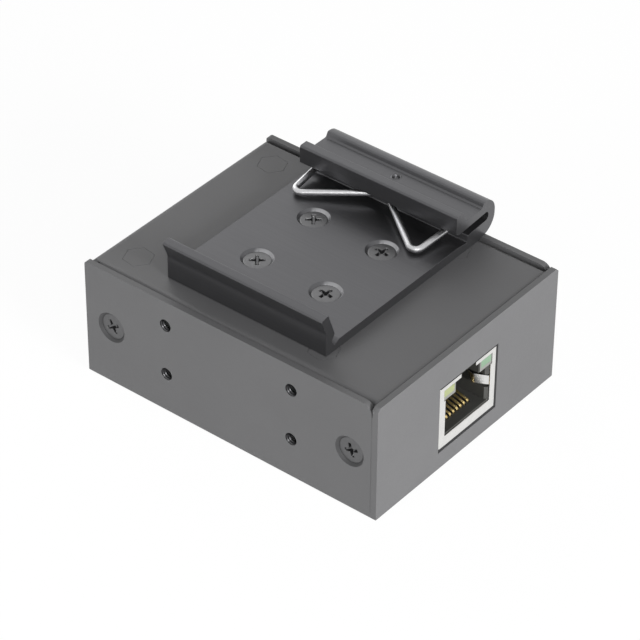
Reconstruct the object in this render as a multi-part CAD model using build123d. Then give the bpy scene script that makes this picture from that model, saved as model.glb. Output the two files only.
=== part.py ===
from build123d import *
import os
from math import radians, tan

# USB to network adapter: a circuit board hangs from the lid of a folded sheet-steel box,
# and an extruded clip on the lid grips a 35 mm equipment rail.
# X runs along the box towards the network socket, Y from the front long side to the back,
# and Z up from the plain face that the box lies on. The origin is the centre of that face.
# All sizes are millimetres.

# Folded box
BOX_LENGTH = 66.0
BOX_WIDTH = 51.6
BOX_HEIGHT = 24.6
SHEET = 1.2
FOLD = 1.5
BASE_FOLD = 0.5
SEAM = 0.2
LID_DROP = 0.2
CORNER_RELIEF = 1.0
RIM_ROUND = 2.0
WALL_CHAMFER = 0.6
FLANGE_DEPTH = 19.0

# Screws, M3: clearance hole, thread core and countersunk head
SCREW_CORE = 2.5
SCREW_CLEARANCE = 3.4
SCREW_LENGTH = 5.0
HEAD_DIAMETER = 5.2
HEAD_SINK = 0.45
RECESS_SPAN = 3.0
RECESS_WIDTH = 0.75
RECESS_DEPTH = 1.1
RECESS_RIM = 0.2
TIP_CHAMFER = 0.3
SIDE_SCREW_INSET = 5.95
SIDE_SCREW_HEIGHT = 12.6

# Press nuts behind the sheets
NUT_FLANGE = 6.3
NUT_HEIGHT = 1.5
NUT_SHANK = 4.2
NUT_SHANK_LENGTH = 0.8

# Tapped bracket holes in both long walls
BRACKET_CORE = 2.5
BRACKET_SPAN_X = 28.4
BRACKET_SPAN_Z = 10.8
BRACKET_HEIGHT = 13.95
BRACKET_CLEARANCE = 4.0

# Rail clip, one extrusion; heights count from its underside
CLIP_LENGTH = 35.6
CLIP_PLATE = 1.9
CLIP_SEAT_TO_SCREWS = 18.75
CLIP_SCREW_SPAN_X = 15.5
CLIP_SCREW_SPAN_Y = 15.8
CLIP_SCREW_OFFSET = 0.4
RAIL_WIDTH = 35.0
RAIL_SHEET = 1.0
HOOK_FOOT = 1.6
HOOK_KNEE = 3.1
HOOK_RISE = 6.6
HOOK_FLARE = 1.3
HOOK_CREST = 1.9
HOOK_CREST_DROP = 0.3
NOSE_REACH = 0.8
NOSE_PLAY = 0.8
GROOVE_DEPTH = 0.65
GROOVE_WIDTH = 2.0
JAW_STEP = 3.6
TAIL_OVERHANG = 2.3
JAW_TOP = 5.75
LIP_WIDTH = 1.95
LIP_RISE = 2.1
LIP_BEVEL = 0.45
LIP_UNDERSIDE = 0.9
CHANNEL_FLOOR = 4.75
CHANNEL_SLOPE = 0.9
RIDGE_WIDTH = 3.9
SLOT_HEIGHT = 1.75
SLOT_WALL = 1.95
SLOT_TILT = 4.0
SLOT_BASE = 1.15
STAKE_DIAMETER = 2.0
STAKE_DEPTH = 0.45
STAKE_INSET = 5.6
TAIL_RELIEF = 0.15

# Spring wire, one length of round steel
WIRE = 1.25
WIRE_SHIFT = -0.75
WIRE_TURN = -1.6
WIRE_KNEE_X = 14.35
WIRE_KNEE_FROM_LIP = 6.9
WIRE_KNEE_LIFT = 0.75
WIRE_TOE_X = 15.2
WIRE_TOE_LENGTH = 3.6
WIRE_NECK = 1.1
WIRE_NECK_DEPTH = 2.6
WIRE_BEND = 1.9
WIRE_REST = 0.08

# Circuit board and the hexagonal stand-offs that carry it
BOARD_LENGTH = 60.5
BOARD_WIDTH = 44.8
BOARD_THICK = 1.6
BOARD_LEFT_GAP = 0.6
BOARD_HOLE = 3.2
BOARD_ROUND = 1.5
STANDOFF_SPAN_X = 42.15
STANDOFF_SPAN_Y = 37.2
STANDOFF_LEFT = 6.45
STANDOFF_HEIGHT = 3.6
STANDOFF_BARREL = 4.2
STANDOFF_FLATS = 5.0
STANDOFF_HEAD = 0.9
STANDOFF_TURN = -8.0
HEX_GAP = 0.05
PAN_HEAD = 5.0
PAN_HEIGHT = 1.8
PAN_SCREW_LENGTH = 4.6

# Network socket
JACK_WIDTH = 16.2
JACK_HEIGHT = 13.25
JACK_DEPTH = 21.3
JACK_OFFSET = -0.2
JACK_GAP_FRONT = 0.1
JACK_GAP_BACK = 0.45
JACK_GAP_BELOW = 0.75
JACK_GAP_ABOVE = 0.25
JACK_SHELL = 0.25
JACK_SIDE_BORDER = 1.6
JACK_BOTTOM_BORDER = 2.1
JACK_TOP_BORDER = 0.8
PLUG_WIDTH = 11.7
PLUG_HEIGHT = 7.65
PLUG_LEDGE = 0.25
PLUG_DEPTH = 13.5
LATCH_NOTCH = 4.2
LATCH_CHANNEL = 6.6
LATCH_CHANNEL_STOP = 3.0
PIPE_HEIGHT = 2.4
PIPE_DEPTH = 12.0
PIPE_OVERHANG = 0.45
PIPE_WALL = 0.2
LENS_BORDER = 0.35
LENS_HEIGHT = 1.5
LENS_DEPTH = 0.8
LEAD_IN = 0.45
CONTACT_COUNT = 8
CONTACT_PITCH = 1.02
CONTACT_WIDTH = 0.5
CONTACT_THICK = 0.3
CONTACT_FRONT = 2.55
CONTACT_REACH = 8.6
CONTACT_RISE = 2.7
CONTACT_RUN = 0.7
PIN_SETBACK = 2.4
PIN_ABOVE_BOARD = 0.6
FINGER_HEIGHT = 2.0
FINGER_REACH = 5.5
FINGER_BOW = 1.2
FINGER_ROOT = 0.8
FINGER_LEVEL = 0.53
FINGER_ROOM = 0.4

# USB socket
USB_WIDTH = 12.0
USB_HEIGHT = 10.7
USB_DEPTH = 16.0
USB_SHELL = 0.35
USB_OPENING_WIDTH = 8.45
USB_OPENING_HEIGHT = 7.8
USB_OPENING_CHAMFER = 1.8
USB_CAVITY_DEPTH = 9.0
TONGUE_WIDTH = 5.6
TONGUE_HEIGHT = 3.2
TONGUE_INSET = 1.0
TONGUE_CHAMFER = 0.4
USB_CONTACT_PITCH = 2.5
USB_CONTACT_WIDTH = 1.0
USB_CONTACT_THICK = 0.25
USB_CONTACT_LENGTH = 6.0

# Parts on the board
CHIP_SIDE = 9.0
CHIP_HEIGHT = 0.9
MEMORY_LENGTH = 5.0
MEMORY_WIDTH = 3.9
MEMORY_HEIGHT = 1.5
CRYSTAL_LENGTH = 11.0
CRYSTAL_WIDTH = 4.6
CRYSTAL_HEIGHT = 3.4
COIL_SIDE = 6.0
COIL_HEIGHT = 3.0
CAN_DIAMETER = 5.0
CAN_HEIGHT = 5.4
CHIP_PASSIVE = (1.6, 0.8, 0.7)
PACKAGE_BEVEL = 0.15
LEG_PITCH = 1.27
LEG_WIDTH = 0.4
LEG_SHEET = 0.2
LEG_REACH = 1.1
CAN_FOOT_EDGE = 0.3
CAN_ROUND = 0.4
BASE_EDGE = 0.4

# A shape placed so that its top face is centred on the origin
HANGING = (Align.CENTER, Align.CENTER, Align.MAX)

# Clearances
FIT = 0.03
POCKET = 0.05
NEAR = 0.01

# Places that follow from the sizes above
LEFT, RIGHT = -BOX_LENGTH / 2, BOX_LENGTH / 2
FRONT, BACK = -BOX_WIDTH / 2, BOX_WIDTH / 2
LID_TOP = BOX_HEIGHT - LID_DROP
LID_UNDER = LID_TOP - SHEET
LID_RIGHT = RIGHT - SHEET - SEAM
LID_HALF = BOX_WIDTH / 2 - SHEET - SEAM
LID_MIDDLE = (LEFT + LID_RIGHT) / 2
SIDE_SCREW_SPAN = BOX_LENGTH - 2 * SIDE_SCREW_INSET
BOARD_TOP = LID_UNDER - STANDOFF_HEIGHT
BOARD_UNDER = BOARD_TOP - BOARD_THICK
BOARD_LEFT = LEFT + SHEET + BOARD_LEFT_GAP
CLIP_TOP = LID_TOP + CLIP_PLATE
SEAT_Y = CLIP_SCREW_OFFSET - CLIP_SEAT_TO_SCREWS
LIP_Y = SEAT_Y + RAIL_WIDTH
JACK_TOP = BOARD_UNDER - POCKET
JACK_BOTTOM = JACK_TOP - JACK_HEIGHT
USB_TOP = BOARD_UNDER - POCKET
USB_BOTTOM = USB_TOP - USB_HEIGHT


def block(x0, x1, y0, y1, z0, z1):
    """A box between two corners."""
    middle = Pos((x0 + x1) / 2, (y0 + y1) / 2, (z0 + z1) / 2)
    return middle * Box(x1 - x0, y1 - y0, z1 - z0)


def spread(span_a, span_b):
    """The four corners of a rectangle of holes about its middle."""
    return [(a * span_a / 2, b * span_b / 2) for a in (-1, 1) for b in (-1, 1)]


def rod(diameter, length):
    """A round bar whose top face is at the origin, pointing down."""
    return Cylinder(diameter / 2, length, align=HANGING)


def countersink(through, mouth, depth):
    """A right-angled countersink and its through hole, to cut down from the origin."""
    taper = (mouth - through) / 2
    cone = Pos(0, 0, -taper / 2) * Cone(through / 2, mouth / 2, taper)
    return cone + rod(through, depth)


def lay(shape, side):
    """Turns a shape that points down so that it points into the front (-1) or back (1) wall."""
    return Rot(X=90 if side < 0 else -90) * shape


def side_places(span):
    """X and side of what repeats at two places on both long walls."""
    return [(x, side) for side in (-1, 1) for x in (-span / 2, span / 2)]


def standoff_places():
    """The four stand-offs, beside the ends of the board."""
    middle = LEFT + STANDOFF_LEFT + STANDOFF_SPAN_X / 2
    return [(middle + x, y) for x, y in spread(STANDOFF_SPAN_X, STANDOFF_SPAN_Y)]


def clip_screw_places():
    """The four screws that hold the clip on the lid."""
    corners = spread(CLIP_SCREW_SPAN_X, CLIP_SCREW_SPAN_Y)
    return [(LID_MIDDLE + x, CLIP_SCREW_OFFSET + y) for x, y in corners]


def bracket_places():
    """X, side and height of the tapped holes in the long walls."""
    corners = spread(BRACKET_SPAN_X, BRACKET_SPAN_Z)
    return [(x, side, BRACKET_HEIGHT + z) for side in (-1, 1) for x, z in corners]


def level_edges(solid, height, axis):
    """The edges of a solid at one height that run along an axis."""
    return solid.edges().filter_by(axis).filter_by_position(Axis.Z, height - NEAR, height + NEAR)


def jack_window():
    """The cut through the tray's end wall that the network socket fills."""
    front = JACK_OFFSET - JACK_WIDTH / 2 - JACK_GAP_FRONT
    back = JACK_OFFSET + JACK_WIDTH / 2 + JACK_GAP_BACK
    low, high = JACK_BOTTOM - JACK_GAP_BELOW, JACK_TOP + JACK_GAP_ABOVE
    return block(RIGHT - 2 * SHEET, RIGHT + SHEET, front, back, low, high)


def housing_tray():
    """Base, both long walls and the socket's end wall, folded from one sheet."""
    outer = block(LEFT, RIGHT, FRONT, BACK, 0, BOX_HEIGHT)
    low = level_edges(outer, 0, Axis.X) + level_edges(outer, 0, Axis.Y).sort_by(Axis.X)[-1:]
    outer = fillet(low, BASE_FOLD)
    inner = block(LEFT - SHEET, RIGHT - SHEET, FRONT + SHEET, BACK - SHEET, SHEET, BOX_HEIGHT + SHEET)
    tray = outer - inner
    step = LEFT + SHEET + SEAM
    tray -= block(LEFT - SHEET, step, FRONT + FOLD, BACK - FOLD, -SHEET, 2 * SHEET)
    for side in (-1, 1):
        wall = side * (BOX_WIDTH / 2 - SHEET / 2)
        seam_end = RIGHT - SHEET
        slit = block(seam_end - SEAM, seam_end, wall - SHEET, wall + SHEET, FOLD, BOX_HEIGHT + SHEET)
        kept = block(seam_end - SEAM, seam_end, FRONT + SHEET + SEAM, BACK - SHEET - SEAM, 0, BOX_HEIGHT)
        tray -= slit - kept
    tray = soften_rim(tray)
    for x, side, z in bracket_places():
        tray -= Pos(x, side * BOX_WIDTH / 2, z) * lay(rod(BRACKET_CORE, 2 * SHEET), side)
    for x, side in side_places(SIDE_SCREW_SPAN):
        sink = countersink(SCREW_CLEARANCE, HEAD_DIAMETER + 2 * HEAD_SINK, 2 * SHEET)
        tray -= Pos(x, side * BOX_WIDTH / 2, SIDE_SCREW_HEIGHT) * lay(sink, side)
    return tray - jack_window()


def soften_rim(tray):
    """Rounds the long walls' top corners and trims those of the end wall."""
    seam = RIGHT - SHEET - SEAM
    at_seam = level_edges(tray, BOX_HEIGHT, Axis.Y).filter_by_position(Axis.X, seam - NEAR, seam + NEAR)
    tray = fillet(at_seam.filter_by(sheet_long), RIM_ROUND)
    at_left = level_edges(tray, BOX_HEIGHT, Axis.Y).filter_by_position(Axis.X, LEFT - NEAR, LEFT + NEAR)
    tray = fillet(at_left, SHEET / 2)
    return chamfer(level_edges(tray, BOX_HEIGHT, Axis.X).filter_by(sheet_long), WALL_CHAMFER)


def sheet_long(edge):
    """True for an edge that crosses the sheet's thickness."""
    return abs(edge.length - SHEET) < NEAR


def housing_lid():
    """Top panel, its two side flanges and the left end wall, folded from one sheet."""
    low = LID_TOP - FLANGE_DEPTH
    outer = block(LEFT, LID_RIGHT, -LID_HALF, LID_HALF, low, LID_TOP)
    high = level_edges(outer, LID_TOP, Axis.X) + level_edges(outer, LID_TOP, Axis.Y).sort_by(Axis.X)[:1]
    outer = fillet(high, FOLD)
    skin = LID_HALF - SHEET
    inner = block(LEFT + SHEET, LID_RIGHT + SHEET, -skin, skin, low - SHEET, LID_UNDER)
    high = level_edges(inner, LID_UNDER, Axis.X)
    high += level_edges(inner, LID_UNDER, Axis.Y).sort_by(Axis.X)[:1]
    inner = fillet(high, FOLD - SHEET)
    lid = outer - inner
    lid += block(LEFT, LEFT + SHEET, FRONT + 2 * FOLD, BACK - 2 * FOLD, SEAM / 2, low)
    lid += block(LEFT, LEFT + SHEET, -LID_HALF, LID_HALF, SHEET + 2 * SEAM, low)
    for side in (-1, 1):
        edge = side * (LID_HALF - SHEET / 2)
        lid -= block(LEFT + SHEET, LEFT + SHEET + CORNER_RELIEF, edge - SHEET, edge + SHEET, 0, LID_UNDER)
        notch = Pos(LEFT + SHEET + CORNER_RELIEF / 2, side * LID_HALF, LID_TOP)
        lid -= notch * Cylinder(CORNER_RELIEF * 0.6, 4 * SHEET)
    lid -= lid_holes()
    half = USB_WIDTH / 2 + SEAM
    return lid - block(LEFT - SHEET, LEFT + 2 * SHEET, -half, half, USB_BOTTOM - SEAM, USB_TOP + SEAM)


def lid_holes():
    """Holes for the clip's nuts, the stand-offs, the side nuts and the bracket screws."""
    cuts = Part()
    for x, y in clip_screw_places():
        cuts += Pos(x, y, LID_TOP) * rod(NUT_SHANK, 2 * SHEET)
    for x, y in standoff_places():
        cuts += Pos(x, y, LID_TOP) * rod(STANDOFF_BARREL, 2 * SHEET)
        cuts += Pos(x, y, LID_TOP) * hexagon(STANDOFF_FLATS + 2 * HEX_GAP, STANDOFF_HEAD)
    for x, side in side_places(SIDE_SCREW_SPAN):
        cuts += Pos(x, side * LID_HALF, SIDE_SCREW_HEIGHT) * lay(rod(NUT_SHANK, 2 * SHEET), side)
    for x, side, z in bracket_places():
        cuts += Pos(x, side * LID_HALF, z) * lay(rod(BRACKET_CLEARANCE, 2 * SHEET), side)
    return cuts


def hexagon(flats, height):
    """A six-sided prism across its flats, pointing down from the origin."""
    outline = Rot(Z=STANDOFF_TURN) * RegularPolygon(flats / 2, 6, major_radius=False)
    return extrude(outline, -height)


def clip_corners():
    """The clip's section as corners (Y, height over its underside, rounding), from the front foot."""
    seat, lip, top = SEAT_Y, LIP_Y, CLIP_PLATE
    foot = seat - HOOK_FOOT
    crest = foot - HOOK_FLARE + HOOK_CREST
    tail = BACK + TAIL_OVERHANG
    step = lip + JAW_STEP
    rise = tan(radians(SLOT_TILT))
    slot_low = top + SLOT_BASE
    slot_end = tail - SLOT_WALL
    back_low = slot_low + (slot_end - step) * rise
    mouth = lip + LIP_UNDERSIDE
    mouth_high = slot_low + SLOT_HEIGHT - (step - mouth) * rise
    lip_high = top + CHANNEL_FLOOR + LIP_RISE
    floor_front = lip + LIP_WIDTH + CHANNEL_SLOPE
    ridge = tail - RIDGE_WIDTH
    over_rim = LID_DROP + TAIL_RELIEF
    rim = BACK - SHEET - 2 * SEAM
    return [
        (foot, 0, 0.2),
        (foot, top + HOOK_KNEE, 2.5),
        (foot - HOOK_FLARE, top + HOOK_RISE - HOOK_CREST_DROP, 0.35),
        (crest, top + HOOK_RISE, 0.35),
        (seat + NOSE_REACH, top + RAIL_SHEET + NOSE_PLAY, 0.3),
        (seat, top + RAIL_SHEET / 2, 0.2),
        (seat + GROOVE_WIDTH / 3, top - GROOVE_DEPTH, 0.2),
        (seat + GROOVE_WIDTH, top, 0.3),
        (lip + 0.4, top, 0.3),
        (step - 0.3, top - GROOVE_DEPTH / 2, 0.3),
        (step, slot_low, 0.35),
        (slot_end, back_low, SLOT_HEIGHT * 0.42),
        (slot_end, back_low + SLOT_HEIGHT, SLOT_HEIGHT * 0.42),
        (mouth, mouth_high, 0.15),
        (lip, mouth_high + LIP_BEVEL, 0.25),
        (lip, lip_high, 0.45),
        (lip + LIP_WIDTH, lip_high, 0.25),
        (floor_front, top + CHANNEL_FLOOR, 0.7),
        (ridge, top + CHANNEL_FLOOR, 0.5),
        (ridge + 0.5, top + JAW_TOP, 0.45),
        (tail, top + JAW_TOP, 3.0),
        (tail, over_rim, 3.7),
        (rim, over_rim, 0),
        (rim - over_rim, 0, 0),
    ]


def din_rail_clip():
    """Hook, plate and jaw in one extrusion, drilled for its screws and staked over the wire."""
    corners = clip_corners()
    points = [(y, z) for y, z, _ in corners]
    outline = FilletPolyline(*points, radius=[rounding for _, _, rounding in corners], close=True)
    clip = extrude(Plane.YZ * make_face(outline), CLIP_LENGTH / 2, both=True)
    clip = Pos(LID_MIDDLE, 0, LID_TOP) * clip
    for x, y in clip_screw_places():
        mouth = HEAD_DIAMETER + 2 * HEAD_SINK
        clip -= Pos(x, y, CLIP_TOP) * countersink(SCREW_CLEARANCE - SEAM, mouth, 2 * CLIP_PLATE)
    floor = CLIP_TOP + CHANNEL_FLOOR
    stake = Cone(STAKE_DIAMETER / 4, STAKE_DIAMETER / 2, 2 * STAKE_DEPTH)
    return clip - Pos(LID_MIDDLE, LIP_Y + STAKE_INSET, floor) * stake


def spring_wire():
    """Bow of round wire: toes under the lip, two knees over the plate and a neck in the slot."""
    slope = tan(radians(SLOT_TILT))
    mouth = CLIP_TOP + SLOT_BASE + WIRE / 2 + WIRE_REST
    half = [
        (WIRE_TOE_X - WIRE_TOE_LENGTH, WIRE, mouth + WIRE * slope),
        (WIRE_TOE_X, WIRE, mouth + WIRE * slope),
        (WIRE_KNEE_X, -JAW_STEP - WIRE_KNEE_FROM_LIP, CLIP_TOP + WIRE_KNEE_LIFT),
        (WIRE_NECK, -WIRE / 2, mouth),
        (WIRE_NECK, WIRE_NECK_DEPTH, mouth + WIRE_NECK_DEPTH * slope),
    ]
    route = [(-x, y, z) for x, y, z in half] + [(x, y, z) for x, y, z in reversed(half)]
    bends = [WIRE, WIRE_BEND, WIRE_BEND, WIRE_NECK * 0.8]
    path = FilletPolyline(*route, radius=bends + bends[::-1])
    start = Plane(path @ 0, z_dir=path % 0)
    wire = sweep(start * Circle(WIRE / 2), path)
    return Pos(LID_MIDDLE + WIRE_SHIFT, LIP_Y + JAW_STEP, 0) * Rot(Z=WIRE_TURN) * wire


def cross_recess():
    """The four-winged driver recess, pointing down from a head's face."""
    taper = Cone(RECESS_WIDTH / 2, RECESS_SPAN / 2, RECESS_DEPTH, align=HANGING)
    wing = Box(RECESS_SPAN, RECESS_WIDTH, RECESS_DEPTH, align=HANGING)
    return (wing + Rot(Z=90) * wing) & taper


def countersunk_screw():
    """A flat-headed screw, its head's face at the origin and its shank pointing down."""
    taper = (HEAD_DIAMETER - SCREW_CORE) / 2
    head = Cone(SCREW_CORE / 2, HEAD_DIAMETER / 2, taper, align=HANGING)
    shank = rod(SCREW_CORE - 2 * FIT, SCREW_LENGTH)
    shank = chamfer(shank.edges().sort_by(Axis.Z)[0], TIP_CHAMFER)
    dish = rod(RECESS_SPAN + RECESS_RIM, RECESS_RIM)
    return head + shank - dish - Pos(0, 0, -RECESS_RIM) * cross_recess()


def press_nut():
    """A round nut whose shank is pressed up into the sheet; its flange's face is at the origin."""
    nut = rod(NUT_FLANGE, NUT_HEIGHT)
    nut += Pos(0, 0, NUT_SHANK_LENGTH) * rod(NUT_SHANK - 2 * FIT, NUT_SHANK_LENGTH)
    nut -= Pos(0, 0, NUT_HEIGHT) * rod(SCREW_CORE, 3 * NUT_HEIGHT)
    return nut


def at_clip_screws(piece, height):
    """Four copies of a piece, one under each hole of the clip."""
    return Compound([Pos(x, y, height) * piece for x, y in clip_screw_places()])


def at_side_screws(piece, depth):
    """Four copies of a piece, two in each long wall, a depth in from the outer face."""
    places = side_places(SIDE_SCREW_SPAN)
    return Compound([
        Pos(x, side * (BOX_WIDTH / 2 - depth), SIDE_SCREW_HEIGHT) * lay(piece, side) for x, side in places
    ])


def standoff():
    """A hexagonal head flush in the lid, with a tapped barrel down to the board."""
    piece = hexagon(STANDOFF_FLATS, STANDOFF_HEAD)
    piece += rod(STANDOFF_BARREL - 2 * FIT, SHEET + STANDOFF_HEIGHT)
    return piece - Pos(0, 0, -STANDOFF_HEAD - SEAM) * rod(SCREW_CORE, SHEET + STANDOFF_HEIGHT)


def pan_screw():
    """A pan-headed screw pointing up, with its seat at the origin."""
    head = rod(PAN_HEAD, PAN_HEIGHT)
    head = chamfer(head.edges().sort_by(Axis.Z)[0], PAN_HEIGHT * 0.4)
    shank = Cylinder(SCREW_CORE / 2 - FIT, PAN_SCREW_LENGTH, align=(Align.CENTER, Align.CENTER, Align.MIN))
    return head + shank - Pos(0, 0, -PAN_HEIGHT) * (Rot(X=180) * cross_recess())


def at_standoffs(piece, height):
    """Four copies of a piece, one at each stand-off."""
    return Compound([Pos(x, y, height) * piece for x, y in standoff_places()])


def circuit_board():
    """The board, rounded at its corners and drilled for its screws and contact pins."""
    right = BOARD_LEFT + BOARD_LENGTH
    board = block(BOARD_LEFT, right, -BOARD_WIDTH / 2, BOARD_WIDTH / 2, BOARD_UNDER, BOARD_TOP)
    board = fillet(board.edges().filter_by(Axis.Z), BOARD_ROUND)
    for x, y in standoff_places():
        board -= Pos(x, y, BOARD_TOP + SHEET) * rod(BOARD_HOLE, 2 * SHEET + BOARD_THICK)
    x = RIGHT - contact_pin_depth()
    for y in contact_places():
        board -= Pos(x, y, BOARD_TOP + SHEET) * rod(2 * CONTACT_WIDTH, 2 * SHEET + BOARD_THICK)
    return board


def contact_places():
    """Y of each contact in the network socket."""
    first = JACK_OFFSET - CONTACT_PITCH * (CONTACT_COUNT - 1) / 2
    return [first + CONTACT_PITCH * i for i in range(CONTACT_COUNT)]


def contact_pin_depth():
    """How far behind the socket's face the contact pins stand."""
    return PLUG_DEPTH + PIN_SETBACK


def plug_floor():
    """Height of the floor of the plug's cavity."""
    return JACK_BOTTOM + JACK_BOTTOM_BORDER + PLUG_LEDGE


def jack_opening(depth):
    """The opening in the socket's front frame, cut to a depth."""
    half = JACK_WIDTH / 2 - JACK_SIDE_BORDER
    wide = half + PIPE_OVERHANG
    low = JACK_BOTTOM + JACK_BOTTOM_BORDER
    high = JACK_TOP - JACK_TOP_BORDER
    sill = high - PIPE_HEIGHT
    cut = block(RIGHT - depth, RIGHT + depth, -half, half, low, high)
    cut += block(RIGHT - depth, RIGHT + depth, -wide, wide, sill, high)
    cut += block(RIGHT - depth, RIGHT + depth, -LATCH_NOTCH / 2, LATCH_NOTCH / 2, low, JACK_TOP + 1)
    return Pos(0, JACK_OFFSET, 0) * cut


def spring_finger(side):
    """A strip bent in from the frame's side, which grips the plug's own shell."""
    half = JACK_WIDTH / 2 - JACK_SIDE_BORDER
    middle = plug_floor() + PLUG_HEIGHT * FINGER_LEVEL
    x = RIGHT - JACK_SHELL
    points = [
        (x, side * (half + JACK_SHELL)),
        (x - FINGER_ROOT, side * (half - JACK_SHELL)),
        (x - FINGER_REACH / 2, side * (half - FINGER_BOW)),
        (x - FINGER_REACH, side * (half - JACK_SHELL)),
    ]
    strip = trace(FilletPolyline(*points, radius=[JACK_SHELL, FINGER_BOW]), JACK_SHELL)
    return Pos(0, JACK_OFFSET, middle - FINGER_HEIGHT / 2) * extrude(strip, FINGER_HEIGHT)


def jack_shield():
    """Folded metal can round the network socket, open towards the board, with its front frame."""
    half = JACK_WIDTH / 2
    back = RIGHT - JACK_DEPTH
    can = block(back, RIGHT, JACK_OFFSET - half, JACK_OFFSET + half, JACK_BOTTOM, JACK_TOP)
    can = fillet(can.edges().filter_by(Axis.Z) + level_edges(can, JACK_BOTTOM, Axis.X), JACK_SHELL)
    skin = half - JACK_SHELL
    room = block(back + JACK_SHELL, RIGHT - JACK_SHELL, -skin, skin, JACK_BOTTOM + JACK_SHELL, JACK_TOP + 1)
    can -= Pos(0, JACK_OFFSET, 0) * room
    can -= jack_opening(2 * JACK_SHELL)
    for side in (-1, 1):
        can += spring_finger(side)
    return can


def jack_insulator():
    """Moulded body of the network socket: plug cavity, latch channel, pipe ducts and contact comb."""
    half = JACK_WIDTH / 2 - JACK_SHELL - POCKET
    front = RIGHT - JACK_SHELL - POCKET
    back = RIGHT - JACK_DEPTH + JACK_SHELL + POCKET
    low = JACK_BOTTOM + JACK_SHELL + POCKET
    floor = plug_floor()
    ceiling = floor + PLUG_HEIGHT
    body = block(back, front, -half, half, low, JACK_TOP)
    plug = PLUG_WIDTH / 2
    cavity = block(RIGHT - PLUG_DEPTH, RIGHT, -plug, plug, floor, ceiling)
    channel = LATCH_CHANNEL / 2
    stop = RIGHT - PLUG_DEPTH + LATCH_CHANNEL_STOP
    cavity += block(stop, RIGHT, -channel, channel, floor, JACK_TOP - JACK_SHELL)
    cavity += lead_in(front, plug, floor, ceiling)
    for side in (-1, 1):
        cavity += finger_window(side, front)
    body -= cavity
    for side in (-1, 1):
        body -= pipe_block(side, PIPE_DEPTH + POCKET, POCKET)
    body = Pos(0, JACK_OFFSET, 0) * body
    for y in contact_places():
        body -= contact_groove(y)
    return body


def lead_in(front, plug, floor, ceiling):
    """The slanted mouth that guides the plug in from both sides."""
    mouth = Plane(origin=(front, 0, (floor + ceiling) / 2), x_dir=(0, 1, 0), z_dir=(-1, 0, 0))
    wide = mouth * Rectangle(2 * (plug + LEAD_IN), ceiling - floor)
    narrow = mouth.offset(LEAD_IN) * Rectangle(2 * plug, ceiling - floor)
    return loft([wide, narrow])


def finger_window(side, front):
    """Room in the side of the body for the spring finger to bow out."""
    half = JACK_WIDTH / 2 - JACK_SHELL - 2 * POCKET
    middle = plug_floor() + PLUG_HEIGHT * FINGER_LEVEL
    reach = FINGER_HEIGHT / 2 + FINGER_ROOM
    inner = PLUG_WIDTH / 2 - FINGER_ROOM
    low, high = sorted((side * inner, side * half))
    return block(front - FINGER_REACH - 1, front + 1, low, high, middle - reach, middle + reach)


def pipe_block(side, depth, gap):
    """The space of one light pipe, in an upper corner of the socket."""
    outer = JACK_WIDTH / 2 - JACK_SIDE_BORDER + PIPE_OVERHANG
    inner = LATCH_CHANNEL / 2 + PIPE_WALL
    low, high = sorted((side * inner, side * outer))
    top = JACK_TOP - JACK_TOP_BORDER
    sill = top - PIPE_HEIGHT
    front = RIGHT - POCKET
    return block(front - depth, front + 2 * gap, low - gap, high + gap, sill - gap, top + gap)


def light_pipe(side):
    """Milky bar that shows a board lamp in the socket's face, with a seat for its lens."""
    pipe = pipe_block(side, PIPE_DEPTH, -POCKET)
    return Pos(0, JACK_OFFSET, 0) * (pipe - lens_block(side, 0))


def lens_block(side, gap):
    """The space of the coloured lens in the front of a light pipe."""
    outer = JACK_WIDTH / 2 - JACK_SIDE_BORDER + PIPE_OVERHANG - 4 * POCKET
    inner = LATCH_CHANNEL / 2 + PIPE_WALL + LENS_BORDER
    low, high = sorted((side * inner, side * outer))
    top = JACK_TOP - JACK_TOP_BORDER - 4 * POCKET
    front = RIGHT - POCKET
    past = front + LENS_DEPTH
    return block(front - LENS_DEPTH, past, low + gap, high - gap, top - LENS_HEIGHT + gap, top - gap)


def led_lens(side):
    """Coloured lens, flush with the front of its light pipe."""
    lens = lens_block(side, FIT / 2)
    trim = block(RIGHT - 3 * POCKET, RIGHT + 2, -JACK_WIDTH, JACK_WIDTH, JACK_BOTTOM, BOX_HEIGHT)
    return Pos(0, JACK_OFFSET, 0) * (lens - trim)


def contact_path():
    """A contact's line in XZ: board pin, run under the floor, turn at the front, sprung rise."""
    pin = RIGHT - contact_pin_depth()
    run = JACK_BOTTOM + JACK_SHELL + CONTACT_RUN
    front = RIGHT - CONTACT_FRONT
    turn = plug_floor() + CONTACT_THICK
    rest = front - CONTACT_REACH
    points = [
        (pin, BOARD_TOP + PIN_ABOVE_BOARD),
        (pin, run),
        (front, run),
        (front, turn),
        (rest, turn + CONTACT_RISE),
    ]
    return FilletPolyline(*points, radius=[0.5, 0.45, 0.45])


def jack_contact(y):
    """One gilt spring contact of the network socket."""
    line = Plane.XZ * contact_path()
    start = Plane(line @ 0, x_dir=(0, 1, 0), z_dir=line % 0)
    wire = sweep(start * Rectangle(CONTACT_WIDTH, CONTACT_THICK), line)
    return Pos(0, y, 0) * wire


def contact_groove(y):
    """The slot in the moulded body that one contact lies in."""
    gap = CONTACT_WIDTH / 2 + POCKET
    pin = RIGHT - contact_pin_depth()
    low = JACK_BOTTOM + JACK_SHELL + CONTACT_RUN - 2 * CONTACT_THICK / 3
    front = RIGHT - CONTACT_FRONT + CONTACT_THICK
    run = block(pin - CONTACT_THICK, front, y - gap, y + gap, low, plug_floor() + 1)
    rise = block(pin - CONTACT_THICK, pin + CONTACT_THICK, y - gap, y + gap, low, JACK_TOP + 1)
    return run + rise


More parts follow.
